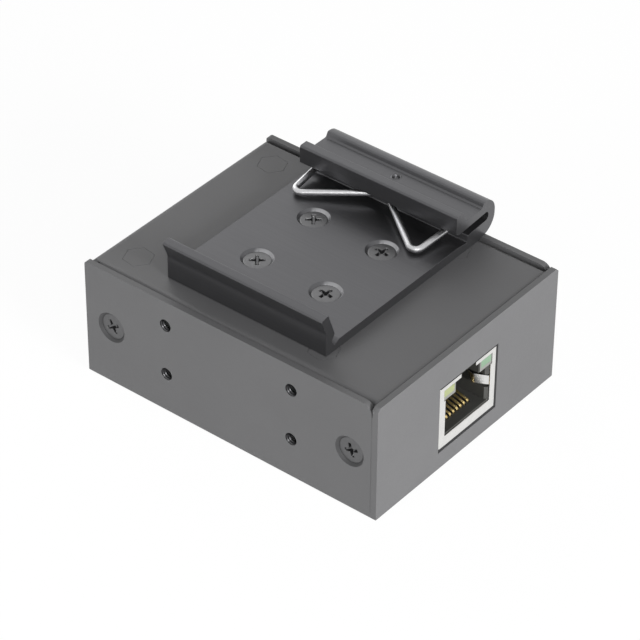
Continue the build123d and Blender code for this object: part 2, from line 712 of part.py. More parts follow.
def usb_opening(depth):
    """The plug's opening in the USB socket, chamfered at its two lower corners."""
    middle = (USB_TOP + USB_BOTTOM) / 2
    outline = Rectangle(USB_OPENING_WIDTH, USB_OPENING_HEIGHT)
    outline = chamfer(outline.vertices().group_by(Axis.Y)[0], USB_OPENING_CHAMFER)
    face = Plane(origin=(LEFT - 1, 0, middle), x_dir=(0, 1, 0), z_dir=(1, 0, 0)) * outline
    return extrude(face, depth + 1)


def usb_shell():
    """Folded metal can of the USB socket, open towards the board and at the back."""
    half = USB_WIDTH / 2
    can = block(LEFT, LEFT + USB_DEPTH, -half, half, USB_BOTTOM, USB_TOP)
    can = fillet(can.edges().filter_by(Axis.X).group_by(Axis.Z)[0], 2 * USB_SHELL)
    skin = half - USB_SHELL
    room = block(LEFT + USB_SHELL, LEFT + USB_DEPTH + 1, -skin, skin, USB_BOTTOM + USB_SHELL, USB_TOP + 1)
    room = fillet(room.edges().filter_by(Axis.X).group_by(Axis.Z)[0], USB_SHELL)
    return can - room - usb_opening(2 * USB_SHELL)


def usb_insulator():
    """Moulded body of the USB socket with the tongue that carries the contacts."""
    half = USB_WIDTH / 2 - USB_SHELL - POCKET
    front = LEFT + USB_SHELL + POCKET
    low = USB_BOTTOM + USB_SHELL + POCKET
    body = block(front, LEFT + USB_DEPTH, -half, half, low, USB_TOP)
    body = fillet(body.edges().filter_by(Axis.X).group_by(Axis.Z)[0], USB_SHELL)
    body -= usb_opening(USB_CAVITY_DEPTH)
    middle = (USB_TOP + USB_BOTTOM) / 2
    tip = LEFT + USB_SHELL + TONGUE_INSET
    reach, half = TONGUE_HEIGHT / 2, TONGUE_WIDTH / 2
    tongue = block(tip, LEFT + USB_CAVITY_DEPTH + 1, -half, half, middle - reach, middle + reach)
    tongue = chamfer(tongue.faces().sort_by(Axis.X)[0].edges(), TONGUE_CHAMFER)
    body += tongue
    for y, side in usb_contact_places():
        body -= usb_strip(y, side, POCKET)
    return body


def usb_contact_places():
    """Y and upper or lower face of the tongue for the four USB contacts."""
    return [(y * USB_CONTACT_PITCH / 2, side) for side in (1, -1) for y in (-1, 1)]


def usb_strip(y, side, gap):
    """The space of one flat contact, let into the tongue."""
    middle = (USB_TOP + USB_BOTTOM) / 2
    face = middle + side * TONGUE_HEIGHT / 2
    low, high = sorted((face - side * (USB_CONTACT_THICK + gap), face + side * gap))
    half = USB_CONTACT_WIDTH / 2 + gap
    start = LEFT + USB_SHELL + TONGUE_INSET + 1
    return block(start - gap, start + USB_CONTACT_LENGTH + gap, y - half, y + half, low, high)


def under_board(piece, x, y):
    """Hangs a board part, drawn pointing down from the origin, at a place on the board."""
    return Pos(x, y, BOARD_UNDER) * piece


def flat_chip(length, width, height):
    """A moulded package with its long edges relieved."""
    chip = Box(length, width, height, align=HANGING)
    return chamfer(chip.faces().sort_by(Axis.Z)[0].edges(), PACKAGE_BEVEL)


def memory_chip():
    """Eight-legged package: a moulded body on short gull-wing legs."""
    chip = Pos(0, 0, -PACKAGE_BEVEL) * flat_chip(MEMORY_LENGTH, MEMORY_WIDTH, MEMORY_HEIGHT)
    foot = Box(LEG_WIDTH, LEG_REACH, LEG_SHEET, align=HANGING)
    riser = Box(LEG_WIDTH, LEG_SHEET, MEMORY_HEIGHT / 2, align=HANGING)
    for side in (-1, 1):
        for place in (-1.5, -0.5, 0.5, 1.5):
            x = place * LEG_PITCH
            chip += Pos(x, side * (MEMORY_WIDTH + LEG_REACH) / 2, 0) * foot
            chip += Pos(x, side * (MEMORY_WIDTH + LEG_SHEET) / 2, 0) * riser
    return chip


def crystal_can():
    """Drawn metal can of the clock crystal on its flanged base."""
    base = extrude(SlotOverall(CRYSTAL_LENGTH, CRYSTAL_WIDTH), -BASE_EDGE)
    length, width = CRYSTAL_LENGTH - 2 * BASE_EDGE, CRYSTAL_WIDTH - 2 * BASE_EDGE
    can = extrude(SlotOverall(length, width), -CRYSTAL_HEIGHT)
    can = chamfer(can.faces().sort_by(Axis.Z)[0].edges(), CAN_ROUND)
    return base + can


def power_coil():
    """Square ferrite inductor with softened corners."""
    coil = Box(COIL_SIDE, COIL_SIDE, COIL_HEIGHT, align=HANGING)
    coil = fillet(coil.edges().filter_by(Axis.Z), COIL_SIDE / 5)
    return coil - Pos(0, 0, -COIL_HEIGHT) * Cylinder(COIL_SIDE / 3, COIL_HEIGHT / 10)


def capacitor():
    """Wound capacitor: an aluminium can crimped on to its square foot."""
    side = CAN_DIAMETER + CAN_FOOT_EDGE
    foot = Box(side, side, 3 * CAN_FOOT_EDGE, align=HANGING)
    foot = chamfer(foot.edges().filter_by(Axis.Z).group_by(Axis.X)[-1], 3 * CAN_FOOT_EDGE)
    can = rod(CAN_DIAMETER, CAN_HEIGHT)
    can = chamfer(can.edges().sort_by(Axis.Z)[0], CAN_ROUND)
    return foot + can


def chip_passives():
    """Two rows of small resistors and capacitors beside the controller."""
    length, width, height = CHIP_PASSIVE
    piece = Box(length, width, height, align=HANGING)
    away = CHIP_SIDE / 2 + length
    pitch = CHIP_SIDE / 5
    rows = [(side * away, row * pitch) for side in (-1, 1) for row in range(-2, 3)]
    chip_x, chip_y = controller_place()
    return Compound([under_board(piece, chip_x + x, chip_y + y) for x, y in rows])


def controller_place():
    """The controller lies between the two sockets."""
    usb_end = LEFT + USB_DEPTH
    jack_end = RIGHT - JACK_DEPTH
    return (usb_end + jack_end) / 2, -BOARD_WIDTH / 5


def board_parts():
    """The parts soldered to the board's socket side, by name."""
    chip_x, chip_y = controller_place()
    side = BOARD_WIDTH / 5
    return {
        "controller_chip": under_board(flat_chip(CHIP_SIDE, CHIP_SIDE, CHIP_HEIGHT), chip_x, chip_y),
        "memory_chip": under_board(memory_chip(), chip_x + 1, chip_y + 2 * side),
        "crystal_can": under_board(crystal_can(), chip_x, chip_y + 0.9 * side),
        "power_coil": under_board(power_coil(), LEFT + USB_DEPTH / 2, -1.2 * side),
        "capacitor_1": under_board(capacitor(), LEFT + USB_DEPTH / 2, 1.2 * side),
        "capacitor_2": under_board(capacitor(), LEFT + USB_DEPTH, 1.7 * side),
        "chip_passives": chip_passives(),
    }


def all_parts():
    """Every separate piece of the adapter, by name."""
    seat = CLIP_TOP - HEAD_SINK
    parts = {
        "housing_tray": housing_tray(),
        "housing_lid": housing_lid(),
        "din_rail_clip": din_rail_clip(),
        "spring_wire": spring_wire(),
        "clip_screws": at_clip_screws(countersunk_screw(), seat),
        "clip_nuts": at_clip_screws(press_nut(), LID_UNDER),
        "side_screws": at_side_screws(countersunk_screw(), HEAD_SINK),
        "side_nuts": at_side_screws(press_nut(), 2 * SHEET + SEAM),
        "board_standoffs": at_standoffs(standoff(), LID_TOP),
        "board_screws": at_standoffs(pan_screw(), BOARD_UNDER),
        "circuit_board": circuit_board(),
        "jack_shield": jack_shield(),
        "jack_insulator": jack_insulator(),
        "left_light_pipe": light_pipe(-1),
        "right_light_pipe": light_pipe(1),
        "left_lens": led_lens(-1),
        "right_lens": led_lens(1),
        "usb_shell": usb_shell(),
        "usb_insulator": usb_insulator(),
    }
    for number, y in enumerate(contact_places(), 1):
        parts[f"jack_contact_{number}"] = jack_contact(y)
    for number, (y, side) in enumerate(usb_contact_places(), 1):
        parts[f"usb_contact_{number}"] = usb_strip(y, side, 0)
    parts.update(board_parts())
    return parts


os.makedirs("parts", exist_ok=True)
for name, piece in all_parts().items():
    export_step(piece, f"parts/{name}.step")
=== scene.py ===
"""Dressed view of the rail-mounted network adapter: finishes, fine pieces, light and camera.

Everything is in the frame of the solids: X along the box towards the network socket, Y from the
hook's side to the sprung jaw's side, Z up from the face the box lies on. Named sizes of pieces are
in millimetres and degrees; lamps, floor and camera stand in metres.
"""
import math

import bmesh
import bpy
import numpy as np
from mathutils import Matrix, Vector


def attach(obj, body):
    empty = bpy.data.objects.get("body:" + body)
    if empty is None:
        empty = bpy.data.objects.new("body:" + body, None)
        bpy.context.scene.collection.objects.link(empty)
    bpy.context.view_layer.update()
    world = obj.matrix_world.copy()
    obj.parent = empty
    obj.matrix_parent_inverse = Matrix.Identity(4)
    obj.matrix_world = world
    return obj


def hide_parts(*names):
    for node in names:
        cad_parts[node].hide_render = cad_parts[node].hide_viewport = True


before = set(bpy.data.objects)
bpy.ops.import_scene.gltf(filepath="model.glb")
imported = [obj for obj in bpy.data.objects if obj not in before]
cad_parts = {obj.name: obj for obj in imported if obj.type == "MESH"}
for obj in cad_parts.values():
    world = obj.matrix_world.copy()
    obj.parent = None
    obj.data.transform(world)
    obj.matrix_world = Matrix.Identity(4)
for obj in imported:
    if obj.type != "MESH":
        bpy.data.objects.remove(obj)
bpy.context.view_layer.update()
MM = 0.001

# Places taken from the solids, in millimetres
CLIP_MIDDLE_X, CLIP_MIDDLE_Y = -0.7, 0.4
CLIP_SCREW_X, CLIP_SCREW_Y = 7.75, 7.9
CLIP_SCREWS = [(CLIP_MIDDLE_X + x, CLIP_MIDDLE_Y + y)
               for x in (-CLIP_SCREW_X, CLIP_SCREW_X) for y in (-CLIP_SCREW_Y, CLIP_SCREW_Y)]
CLIP_SCREW_FACE = 25.85
SIDE_SCREW_X, SIDE_SCREW_Y, SIDE_SCREW_Z = 27.05, 25.35, 12.6
MOUTH_RADIUS = 3.08
SEAM_X, SEAM_Z, SEAM_SINK = (31.6, 31.8), (1.5, 22.3), 0.05
TAPPED_X, TAPPED_Z, TAPPED_RISE = 14.2, 13.95, 5.4
WALL_FACE, SHEET = 25.8, 1.2
CLIP_TOP, SLOT_RISE, SLOT_TILT = 26.3, 1.855, 4.0
WIRE_RADIUS, WIRE_TURN, WIRE_PIVOT = 0.625, -1.6, (-1.45, 20.25)
STAKE_PLACE = np.array([CLIP_MIDDLE_X, 22.25, 31.05])
CONTACT_Y = [-3.77 + 1.02 * i for i in range(8)]

# Floor, in metres apart from the gap under the box, and camera, in metres, millimetres of lens and degrees
FLOOR_GAP, FLOOR_SIZE, FLOOR_GLOW, FLOOR_SHARE = 0.1, 6, 1.02, 0.93
BOX_MIDDLE = Vector((0, 0, 0.012))
CAMERA_PLACE, CAMERA_LENS = (0.28727, -0.35971, 0.36570), 182.57
CAMERA_AZIMUTH, CAMERA_ELEVATION, CAMERA_ROLL = 38.63, 37.52, 0.46


# Shapes

def put_mesh(name, points, faces, smooth=True):
    """A mesh object from arrays of points in millimetres and of faces, with its place in its mesh."""
    mesh = bpy.data.meshes.new(name)
    mesh.from_pydata((np.asarray(points) * MM).tolist(), [], [list(map(int, f)) for f in faces])
    mesh.validate()
    mesh.polygons.foreach_set("use_smooth", [smooth] * len(mesh.polygons))
    piece = bpy.data.objects.new(name, mesh)
    bpy.context.scene.collection.objects.link(piece)
    return piece


def grid_faces(rows, columns, wrap_rows=False):
    """Quads between neighbouring rows of a grid whose columns wrap round, and whose rows may too."""
    last = rows if wrap_rows else rows - 1
    i, j = np.meshgrid(np.arange(last), np.arange(columns), indexing="ij")
    below = ((i + 1) % rows) * columns
    here, beside = i * columns, (j + 1) % columns
    quads = np.stack([here + j, here + beside, below + beside, below + j], axis=-1)
    return quads.reshape(-1, 4).tolist()


def pole_faces(ring_start, columns, pole, outward):
    """A fan of triangles from one ring of a grid to a pole point."""
    j = np.arange(columns)
    a, b = ring_start + j, ring_start + (j + 1) % columns
    tip = np.full(columns, pole)
    order = [b, a, tip] if outward else [a, b, tip]
    return np.stack(order, axis=-1).tolist()


def turned_points(radius, height, sides):
    """Rings of a turned shape: each (radius, height) pair swept round Z, as x = r cos t, y = r sin t."""
    angle = np.arange(sides) * 2 * math.pi / sides
    radius, height = np.asarray(radius)[:, None], np.asarray(height)[:, None]
    x = radius * np.cos(angle)
    y = radius * np.sin(angle)
    return np.stack([x, y, np.broadcast_to(height, x.shape)], axis=-1)


def rounded_route(corners, radii, steps):
    """Points along straight runs joined by arcs, where each arc has its own radius and touches both runs."""
    corners = np.asarray(corners, float)
    points = [corners[:1]]
    for before, corner, after, radius in zip(corners, corners[1:], corners[2:], radii):
        into = (before - corner) / np.linalg.norm(before - corner)
        out = (after - corner) / np.linalg.norm(after - corner)
        half = math.acos(np.clip(into @ out, -1, 1)) / 2
        bisector = (into + out) / np.linalg.norm(into + out)
        centre = corner + bisector * radius / math.sin(half)
        first = corner + into * radius / math.tan(half) - centre
        last = corner + out * radius / math.tan(half) - centre
        sweep = math.pi - 2 * half
        painted_highlight = np.linspace(0, 1, steps)[:, None]
        arc = (np.sin((1 - painted_highlight) * sweep) * first + np.sin(painted_highlight * sweep) * last) / math.sin(sweep)
        points.append(centre + arc)
    points.append(corners[-1:])
    return np.concatenate(points)


def section_along(route, outline, up):
    """A closed outline (a, b) carried along a route: each ring is point + a * side + b * lift, where side
    is tangent x up and lift is side x tangent."""
    tangent = np.gradient(route, axis=0)
    tangent /= np.linalg.norm(tangent, axis=1, keepdims=True)
    side = np.cross(tangent, up)
    side /= np.linalg.norm(side, axis=1, keepdims=True)
    lift = np.cross(side, tangent)
    a, b = np.asarray(outline).T
    return route[:, None] + side[:, None] * a[None, :, None] + lift[:, None] * b[None, :, None]


def rod_piece(name, rings):
    """A closed bar from its rings, with a point at the middle of each end."""
    rows, columns = rings.shape[:2]
    points = np.concatenate([rings.reshape(-1, 3), rings[:1].mean(1), rings[-1:].mean(1)])
    count = rows * columns
    faces = grid_faces(rows, columns)
    faces += pole_faces(0, columns, count, True)
    faces += pole_faces(count - columns, columns, count + 1, False)
    return put_mesh(name, points, faces)


def face_out(piece):
    """Turns a closed mesh's faces outwards."""
    work = bmesh.new()
    work.from_mesh(piece.data)
    bmesh.ops.recalc_face_normals(work, faces=work.faces)
    work.to_mesh(piece.data)
    work.free()
    return piece


def circle(radius, sides):
    """Points of a circle as (a, b) pairs."""
    angle = np.arange(sides) * 2 * math.pi / sides
    return np.stack([radius * np.cos(angle), radius * np.sin(angle)], axis=-1)


def strip_outline(width, thick, sides=20, power=4):
    """A flat wire's section: the curve |a / w|^p + |b / t|^p = 1, which rounds its corners."""
    angle = np.arange(sides) * 2 * math.pi / sides
    c, s = np.cos(angle), np.sin(angle)
    a = np.sign(c) * np.abs(c) ** (2 / power) * width / 2
    b = np.sign(s) * np.abs(s) ** (2 / power) * thick / 2
    return np.stack([a, b], axis=-1)


def joined(name, parts, smooth=True):
    """One mesh from several (points, faces) pairs."""
    points, faces, start = [], [], 0
    for some_points, some_faces in parts:
        points.append(some_points)
        faces += [[index + start for index in face] for face in some_faces]
        start += len(some_points)
    return put_mesh(name, np.concatenate(points), faces, smooth)


def facing(points, place, side):
    """Stands a shape that looks up Z at a place: side 0 keeps it, -1 looks to -Y and 1 to +Y."""
    turn = np.array(Matrix.Rotation(-side * math.pi / 2, 3, "X"))
    return points @ turn.T + np.asarray(place)


HEAD_RADIUS, HEAD_EDGE, SHANK_RADIUS, SCREW_LENGTH = 2.58, 0.14, 1.2, 5.0
CROWN, TIP_RADIUS, TIP_LENGTH = 0.05, 0.9, 0.3
RECESS_REACH, RECESS_WIDTH, RECESS_DEPTH, RECESS_WALL = 1.5, 0.74, 1.15, 0.16
RECESS_HUB, RECESS_FALL = 0.62, 0.75
SCREW_PITCH, THREAD_SHARE = 0.5, 0.09


def recess_depth(x, y):
    """Depth of a cross recess at (x, y): a bar along each axis, steep walls, and a floor that deepens
    towards the middle as 1 - fall * r / reach."""
    def bar(u, v):
        slack = np.minimum(RECESS_WIDTH / 2 - np.abs(v), RECESS_REACH - np.abs(u))
        return np.clip(slack / RECESS_WALL, 0, 1)
    near = np.clip(RECESS_HUB - np.hypot(x, y), 0, 1) / RECESS_WALL
    inside = np.maximum(np.maximum(bar(x, y), bar(y, x)), np.clip(near, 0, 1))
    inside = inside * inside * (3 - 2 * inside)
    floor = RECESS_DEPTH * (1 - RECESS_FALL * np.hypot(x, y) / RECESS_REACH)
    return inside * np.clip(floor, 0, None)


def screw_shape(turn, sides=144):
    """A countersunk screw as one turned surface: from the recess's middle over the head's rounded edge,
    down its cone and along a shank whose thread is r = crest * (1 - share * |2 p - 1|), where the phase p
    is the rest of z / pitch - t / turn."""
    round_recess = np.linspace(0.04, 1.7, 46)
    beyond = np.linspace(1.8, HEAD_RADIUS - HEAD_EDGE, 6)
    flat = np.concatenate([round_recess, beyond])
    bend = np.linspace(0, math.pi / 2, 6)[1:]
    edge_r = HEAD_RADIUS - HEAD_EDGE + HEAD_EDGE * np.sin(bend)
    edge_z = -HEAD_EDGE + HEAD_EDGE * np.cos(bend)
    taper = HEAD_RADIUS - SHANK_RADIUS
    cone = np.linspace(0, 1, 5)[1:]
    shank_z = np.linspace(-HEAD_EDGE - taper, -SCREW_LENGTH + TIP_LENGTH, 36)[1:]
    shank_r = np.full(len(shank_z), SHANK_RADIUS)
    radius = np.concatenate([flat, edge_r, HEAD_RADIUS - taper * cone, shank_r, [TIP_RADIUS]])
    height = np.concatenate([flat * 0, edge_z, -HEAD_EDGE - taper * cone, shank_z, [-SCREW_LENGTH]])
    rings = turned_points(radius, height, sides)
    top = slice(0, len(flat))
    c, s = math.cos(turn), math.sin(turn)
    x = rings[top, :, 0] * c + rings[top, :, 1] * s
    y = rings[top, :, 1] * c - rings[top, :, 0] * s
    rings[top, :, 2] -= recess_depth(x, y)
    reach = np.hypot(rings[top, :, 0], rings[top, :, 1]) / HEAD_RADIUS
    rings[top, :, 2] += CROWN * (1 - reach ** 2)
    thread = slice(len(flat) + len(edge_r) + len(cone), len(radius) - 1)
    angle = np.arange(sides) / sides
    phase = (rings[thread, :, 2] / SCREW_PITCH - angle) % 1
    ridge = 1 - THREAD_SHARE * np.abs(2 * phase - 1)
    rings[thread, :, :2] *= ridge[..., None]
    count = rings.shape[0] * sides
    ends = np.array([[0, 0, rings[0, :, 2].mean()], [0, 0, -SCREW_LENGTH]])
    points = np.concatenate([rings.reshape(-1, 3), ends])
    faces = grid_faces(rings.shape[0], sides) + pole_faces(0, sides, count, True)
    faces += pole_faces(count - sides, sides, count + 1, False)
    return points, faces


def screw_set(name, places):
    """Screws at (place, side, turn) as one piece."""
    parts = []
    for place, side, turn in places:
        points, faces = screw_shape(turn)
        parts.append((facing(points, place, side), faces))
    return face_out(joined(name, parts))


def tapped_sleeve(sides=96, rows=40):
    """Thread turns lining a tapped hole: an inner wall r = bore - ridge * (1 - |2 p - 1|), where the phase
    p is the rest of z / pitch - t / turn, and an outer wall just behind the hole's own."""
    bore, ridge, behind, inset, lead = 1.245, 0.16, 1.27, 0.02, 0.2
    z = np.linspace(-inset, -SHEET + inset, rows)
    angle = np.arange(sides) / sides
    phase = (z[:, None] / SCREW_PITCH - angle[None, :]) % 1
    fade = np.clip(np.minimum(-z, SHEET + z) / lead, 0, 1)[:, None]
    inner = turned_points(np.full(rows, 1.0), z, sides)
    inner[..., :2] *= (bore - ridge * (1 - np.abs(2 * phase - 1)) * fade)[..., None]
    outer = turned_points([behind, behind], [z[-1], z[0]], sides)
    rings = np.concatenate([inner, outer])
    return rings.reshape(-1, 3), grid_faces(len(rings), sides, wrap_rows=True)


def tapped_threads():
    """The eight lined holes in both long walls."""
    points, faces = tapped_sleeve()
    parts = []
    for side in (-1, 1):
        for x in (-TAPPED_X, TAPPED_X):
            for z in (TAPPED_Z - TAPPED_RISE, TAPPED_Z + TAPPED_RISE):
                parts.append((facing(points, (x, side * WALL_FACE, z), side), faces))
    return face_out(joined("tapped_threads", parts))


def stake_mark(sides=48):
    """The round mark of the punch that closes the slot over the wire: a raised middle, a ring pressed in
    round it and a low burr outside, turned from (radius, height) pairs over the channel's floor."""
    ring = np.array([(0.2, -0.12), (0.3, -0.16), (0.42, -0.3), (0.56, -0.36), (0.66, -0.2), (0.74, 0.0),
                     (0.8, 0.045), (0.9, 0.05), (1.0, 0.01), (1.02, -0.03), (0.9, -0.6)])
    points = turned_points(ring[:, 0], ring[:, 1], sides).reshape(-1, 3)
    middle, foot = -0.09, ring[-1, 1]
    ends = np.array([[0, 0, middle], [0, 0, foot]])
    count = len(points)
    faces = grid_faces(len(ring), sides) + pole_faces(0, sides, count, True)
    faces += pole_faces(count - sides, sides, count + 1, False)
    return face_out(put_mesh("stake_mark", np.concatenate([points, ends]) + STAKE_PLACE, faces))


def seam_coat():
    """Powder that bridges the narrow seams beside the end wall: one thin bar in each, a little below
    the wall's face."""
    box = [(0, 1, 3, 2), (4, 6, 7, 5), (0, 4, 5, 1), (2, 3, 7, 6), (0, 2, 6, 4), (1, 5, 7, 3)]
    parts = []
    for side in (-1, 1):
        face, back = side * (WALL_FACE - SEAM_SINK), side * (WALL_FACE - SHEET + SEAM_SINK)
        points = np.array([(x, y, z) for x in SEAM_X for y in (face, back) for z in SEAM_Z])
        parts.append((points, box))
    return face_out(joined("seam_coat", parts, smooth=False))


def wire_route():
    """Centre line of the spring wire: toe, knee and neck on each side, mirrored about its middle, then
    turned slightly about the slot's mouth."""
    slope = math.tan(math.radians(SLOT_TILT))
    middle = CLIP_TOP + SLOT_RISE
    knee_z = CLIP_TOP + 0.75
    toe_y, neck_y, end_y = 1.25, -0.625, 2.6
    half = [
        (11.6, toe_y, middle + toe_y * slope),
        (15.2, toe_y, middle + toe_y * slope),
        (14.35, -9.9, knee_z),
        (1.1, neck_y, middle),
        (1.1, end_y, middle + end_y * slope),
    ]
    corners = [(-x, y, z) for x, y, z in half] + [(x, y, z) for x, y, z in reversed(half)]
    bends = [1.25, 1.3, 1.9, 0.88]
    route = rounded_route(corners, bends + bends[::-1], 16)
    turn = np.array(Matrix.Rotation(math.radians(WIRE_TURN), 3, "Z"))
    return route @ turn.T + np.array([*WIRE_PIVOT, 0])


def contact_route():
    """Centre line of a socket contact in XZ: board pin, run under the floor, front turn, sprung rise."""
    corners = [(17.1, 0, 20.2), (17.1, 0, 5.65), (30.45, 0, 5.65), (30.45, 0, 7.35), (21.85, 0, 10.05)]
    return rounded_route(corners, [0.5, 0.45, 0.45], 8)


# Points closer than the gap are merged, faces that turn less are flat, edges that turn more are sharp
MERGE_GAP, FLAT_TURN, EDGE_TURN = 0.001, 0.6, 38


def softened(node, edge):
    """A copy of a solid with its seams merged, its flat areas joined and its sharp edges rounded."""
    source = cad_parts[node]
    work = bmesh.new()
    work.from_mesh(source.data)
    bmesh.ops.remove_doubles(work, verts=work.verts, dist=MERGE_GAP * MM)
    bmesh.ops.dissolve_limit(work, angle_limit=math.radians(FLAT_TURN), verts=work.verts, edges=work.edges)
    mesh = bpy.data.meshes.new(node + "_soft")
    work.to_mesh(mesh)
    work.free()
    mesh.polygons.foreach_set("use_smooth", [True] * len(mesh.polygons))
    piece = bpy.data.objects.new(node + "_soft", mesh)
    bpy.context.scene.collection.objects.link(piece)
    bevel = piece.modifiers.new("edges", "BEVEL")
    bevel.width = edge * MM
    bevel.segments = 2
    bevel.limit_method = "ANGLE"
    bevel.angle_limit = math.radians(EDGE_TURN)
    bevel.use_clamp_overlap = True
    flatter = piece.modifiers.new("flat faces", "WEIGHTED_NORMAL")
    flatter.weight = 100
    return piece


# Finishes

def linear(code):
    """An sRGB hex colour as linear red, green, blue and alpha."""
    parts = [int(code[i:i + 2], 16) / 255 for i in (1, 3, 5)]
    return [p / 12.92 if p <= 0.04045 else ((p + 0.055) / 1.055) ** 2.4 for p in parts] + [1]


def add(tree, kind, settings=None, values=None, links=None):
    """Adds a node with its settings, its plain input values and the outputs linked into it."""
    made = tree.nodes.new(kind)
    for name, value in (settings or {}).items():
        setattr(made, name, value)
    for key, value in (values or {}).items():
        made.inputs[key].default_value = value
    for key, source in (links or {}).items():
        tree.links.new(source, made.inputs[key])
    return made


def new_material(name, colour, roughness, metallic=0.0):
    """A material with its shader's plain values, and the place that its patterns are read at."""
    material = bpy.data.materials.new(name)
    material.use_nodes = True
    tree = material.node_tree
    shader = tree.nodes["Principled BSDF"]
    values = {"Base Color": linear(colour), "Roughness": roughness, "Metallic": metallic}
    for key, value in values.items():
        shader.inputs[key].default_value = value
    place = add(tree, "ShaderNodeTexCoord").outputs["Object"]
    return material, tree, shader, place


def near_axes(tree, place, middle, spread, across):
    """1 inside the countersinks round the axes at middle +- spread, and 0 elsewhere; across is 1 on the
    two coordinates that lie across the axes."""
    centred = add(tree, "ShaderNodeMapping", values={"Location": [-c * MM for c in middle]},
                  links={"Vector": place})
    folded = add(tree, "ShaderNodeVectorMath", {"operation": "ABSOLUTE"}, links={0: centred.outputs[0]})
    near = add(tree, "ShaderNodeVectorMath", {"operation": "SUBTRACT"}, {1: [c * MM for c in spread]},
               {0: folded.outputs[0]})
    flat = add(tree, "ShaderNodeVectorMath", {"operation": "MULTIPLY"}, {1: across}, {0: near.outputs[0]})
    away = add(tree, "ShaderNodeVectorMath", {"operation": "LENGTH"}, links={0: flat.outputs[0]})
    inside = add(tree, "ShaderNodeMath", {"operation": "LESS_THAN"}, {1: MOUTH_RADIUS * MM},
                 {0: away.outputs["Value"]})
    return inside.outputs[0]


def powder_coat():
    """Fine-textured polyester powder coat on steel: a pebbled skin of about 0.3 mm, faintly uneven in
    tone, with a soft sheen. Its countersinks round the side screws are painted darker, as painted shade
    between head and wall."""
    material, tree, shader, place = new_material("powder_coat_black", "#585859", 0.5)
    grain = add(tree, "ShaderNodeTexNoise", values={"Scale": 3200, "Detail": 2}, links={"Vector": place})
    swell = add(tree, "ShaderNodeTexNoise", values={"Scale": 700, "Detail": 1}, links={"Vector": place})
    fine = add(tree, "ShaderNodeBump", values={"Strength": 0.22, "Distance": 0.00004},
               links={"Height": grain.outputs["Fac"]})
    both = add(tree, "ShaderNodeBump", values={"Strength": 0.1, "Distance": 0.0001},
               links={"Height": swell.outputs["Fac"], "Normal": fine.outputs["Normal"]})
    tree.links.new(both.outputs["Normal"], shader.inputs["Normal"])
    cloud = add(tree, "ShaderNodeTexNoise", values={"Scale": 90, "Detail": 3}, links={"Vector": place})
    tone = add(tree, "ShaderNodeMix", {"data_type": "RGBA"}, {6: linear("#555556"), 7: linear("#5b5b5c")},
               {0: cloud.outputs["Fac"]})
    # Painted shade: a darker coat in the side screws' countersinks stands in for the shade round the heads
    painted_countersink_shade = near_axes(tree, place, (0, 0, SIDE_SCREW_Z), (SIDE_SCREW_X, 0, 0), (1, 0, 1))
    colour = add(tree, "ShaderNodeMix", {"data_type": "RGBA"}, {7: linear("#343435")},
                 {0: painted_countersink_shade, 6: tone.outputs[2]})
    tree.links.new(colour.outputs[2], shader.inputs["Base Color"])
    rough = add(tree, "ShaderNodeMapRange", values={"To Min": 0.45, "To Max": 0.56},
                links={"Value": grain.outputs["Fac"]})
    tree.links.new(rough.outputs["Result"], shader.inputs["Roughness"])
    return material


def anodised():
    """Black anodised aluminium extrusion: a dark satin oxide over metal, with faint die lines along X.
    The countersinks were cut afterwards to bare metal all round; only their walls that look to -Y are
    painted light, a painted highlight."""
    material, tree, shader, place = new_material("black_anodised_aluminium", "#5a5a5c", 0.32, 0.86)
    drawn = add(tree, "ShaderNodeMapping", values={"Scale": (0.02, 1, 1)}, links={"Vector": place})
    lines = add(tree, "ShaderNodeTexNoise", values={"Scale": 2400, "Detail": 3},
                links={"Vector": drawn.outputs["Vector"]})
    bump = add(tree, "ShaderNodeBump", values={"Strength": 0.08, "Distance": 0.00002},
               links={"Height": lines.outputs["Fac"]})
    tree.links.new(bump.outputs["Normal"], shader.inputs["Normal"])
    tone = add(tree, "ShaderNodeMix", {"data_type": "RGBA"}, {6: linear("#555557"), 7: linear("#5f5f61")},
               {0: lines.outputs["Fac"]})
    middle, spread = (CLIP_MIDDLE_X, CLIP_MIDDLE_Y, 0), (CLIP_SCREW_X, CLIP_SCREW_Y, 0)
    # Painted highlight: countersink walls that look to -Y get a light bare-metal tone, and the rest keep the
    # oxide's tone
    bare = near_axes(tree, place, middle, spread, (1, 1, 0))
    slope = add(tree, "ShaderNodeSeparateXYZ", links={"Vector": place.node.outputs["Normal"]})
    lit = add(tree, "ShaderNodeMapRange", values={"From Min": -0.42, "From Max": -0.7},
              links={"Value": slope.outputs["Y"]})
    painted_highlight = add(tree, "ShaderNodeMath", {"operation": "MULTIPLY"}, links={0: bare, 1: lit.outputs["Result"]})
    colour = add(tree, "ShaderNodeMix", {"data_type": "RGBA"}, {7: linear("#a2a2a4")},
                 {0: painted_highlight.outputs[0], 6: tone.outputs[2]})
    tree.links.new(colour.outputs[2], shader.inputs["Base Color"])
    rough = add(tree, "ShaderNodeMapRange", values={"To Min": 0.28, "To Max": 0.38},
                links={"Value": lines.outputs["Fac"]})
    tree.links.new(rough.outputs["Result"], shader.inputs["Roughness"])
    return material


def metal(name, low, high, roughness, scale, depth):
    """A metal whose tone and roughness drift between two values over a noise, with a shallow bump."""
    material, tree, shader, place = new_material(name, low, roughness, 1.0)
    marks = add(tree, "ShaderNodeTexNoise", values={"Scale": scale, "Detail": 3}, links={"Vector": place})
    tone = add(tree, "ShaderNodeMix", {"data_type": "RGBA"}, {6: linear(low), 7: linear(high)},
               {0: marks.outputs["Fac"]})
    tree.links.new(tone.outputs[2], shader.inputs["Base Color"])
    rough = add(tree, "ShaderNodeMapRange", values={"To Min": roughness * 0.8, "To Max": roughness * 1.25},
                links={"Value": marks.outputs["Fac"]})
    tree.links.new(rough.outputs["Result"], shader.inputs["Roughness"])
    bump = add(tree, "ShaderNodeBump", values={"Strength": 0.15, "Distance": depth},
               links={"Height": marks.outputs["Fac"]})
    tree.links.new(bump.outputs["Normal"], shader.inputs["Normal"])
    return material


